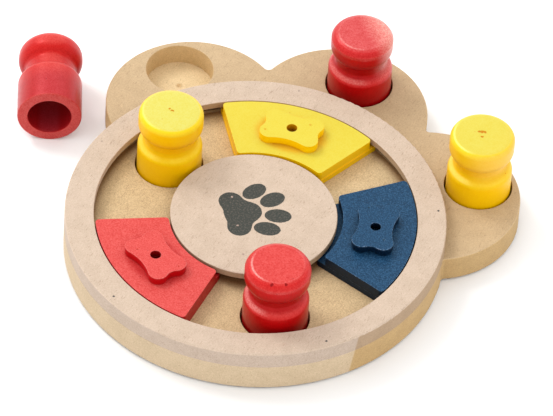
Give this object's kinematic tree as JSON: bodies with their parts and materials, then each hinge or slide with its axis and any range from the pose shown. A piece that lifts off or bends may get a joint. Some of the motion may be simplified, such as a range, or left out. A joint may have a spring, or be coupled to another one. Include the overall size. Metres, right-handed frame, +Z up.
{
  "type": "dog puzzle feeder toy",
  "caption": "Paw-shaped board with blind treat wells, covers with bone-shaped grips that slide in a round channel between ring and hub, and hollow pegs that lift out.",
  "frame": {"origin": "under the centre of the ring, on the surface that the feeder stands on", "axes": "+Z up out of the board; +Y from the ring's centre to the middle toe well; +X to the right as seen from above with the toes at the top"},
  "size_m": [0.3004, 0.2593, 0.058],
  "materials": {
    "tan_board": "matt, fine fibreboard, bare",
    "pale_board": "matt, fine sanded fibreboard, bare",
    "pad_rubber": "matt",
    "brad_steel": "dull",
    "yellow_paint": "satin water-based paint on fibreboard",
    "navy_paint": "satin water-based paint on fibreboard",
    "red_paint": "satin water-based paint on fibreboard",
    "yellow_brad": "painted over, satin",
    "navy_brad": "painted over, satin",
    "red_brad": "painted over, satin"
  },
  "bodies": {
    "board": {"base_board": "tan_board", "foot_pads": "pad_rubber", "ring_spacer": "pale_board", "ring_plate": "pale_board", "ring_brads": "brad_steel", "hub_spacer": "pale_board", "hub_plate": "pale_board", "hub_brads": "brad_steel"},
    "yellow_slider": {"yellow_slider_flange": "yellow_paint", "yellow_slider_top": "yellow_paint", "yellow_grip": "yellow_paint", "yellow_grip_brads": "yellow_brad"},
    "navy_slider": {"navy_slider_flange": "navy_paint", "navy_slider_top": "navy_paint", "navy_grip": "navy_paint", "navy_grip_brads": "navy_brad"},
    "red_slider": {"red_slider_flange": "red_paint", "red_slider_top": "red_paint", "red_grip": "red_paint", "red_grip_brads": "red_brad"},
    "yellow_channel_peg": {"yellow_channel_peg": "yellow_paint"},
    "yellow_toe_peg": {"yellow_toe_peg": "yellow_paint"},
    "red_channel_peg": {"red_channel_peg": "red_paint"},
    "red_toe_peg": {"red_toe_peg": "red_paint"},
    "red_loose_peg": {"red_loose_peg": "red_paint"}
  },
  "joints": [
    {"name": "yellow_slider_travel", "type": "hinge", "parent": "board", "child": "yellow_slider", "pos_m": [0, 0, 0.021], "axis": [0, 0, 1], "range_deg": [-11.2, 17]},
    {"name": "navy_slider_travel", "type": "hinge", "parent": "board", "child": "navy_slider", "pos_m": [0, 0, 0.021], "axis": [0, 0, 1], "range_deg": [-25.7, 11.2]},
    {"name": "red_slider_travel", "type": "hinge", "parent": "board", "child": "red_slider", "pos_m": [0, 0, 0.021], "axis": [0, 0, 1], "range_deg": [-33.7, 19.3]},
    {"name": "yellow_channel_peg_lift", "type": "slide", "parent": "board", "child": "yellow_channel_peg", "axis": [0, 0, 1], "range_m": [0, 0.04]},
    {"name": "yellow_toe_peg_lift", "type": "slide", "parent": "board", "child": "yellow_toe_peg", "axis": [0, 0, 1], "range_m": [0, 0.04]},
    {"name": "red_channel_peg_lift", "type": "slide", "parent": "board", "child": "red_channel_peg", "axis": [0, 0, 1], "range_m": [0, 0.04]},
    {"name": "red_toe_peg_lift", "type": "slide", "parent": "board", "child": "red_toe_peg", "axis": [0, 0, 1], "range_m": [0, 0.04]},
    {"name": "red_loose_peg_lift", "type": "slide", "parent": "board", "child": "red_loose_peg", "axis": [0, 0, 1], "range_m": [0, 0.04]}
  ]
}
